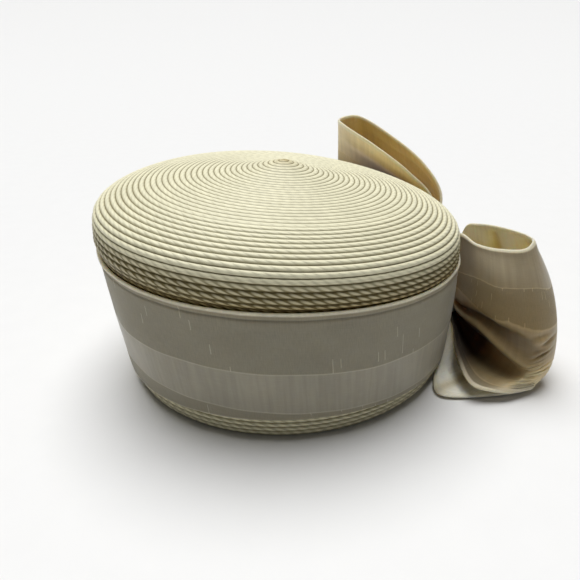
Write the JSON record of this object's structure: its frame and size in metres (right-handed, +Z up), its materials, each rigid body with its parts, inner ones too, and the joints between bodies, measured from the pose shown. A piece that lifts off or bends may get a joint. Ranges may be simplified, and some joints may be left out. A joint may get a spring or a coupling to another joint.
{
  "type": "pillbox hat",
  "caption": "Pillbox hat of sewn straw braid with a low domed top, a wide striped silk band and a silk loop bow on its side.",
  "frame": {"origin": "middle of the whole hat's box, on the surface that the hat rests on", "axes": "+Z up through the top of the crown, -Y towards the hat's front, +X towards the side that carries the bow"},
  "size_m": [0.2468, 0.236, 0.1173],
  "materials": {
    "straw_braid": "sewn straw braid, satin",
    "striped_silk": "slubbed silk with satin stripes"
  },
  "bodies": {
    "root": {"braid_crown": "straw_braid", "silk_band": "striped_silk", "front_bow_loop": "striped_silk", "rear_bow_loop": "striped_silk", "bow_wrap": "striped_silk"}
  },
  "joints": []
}
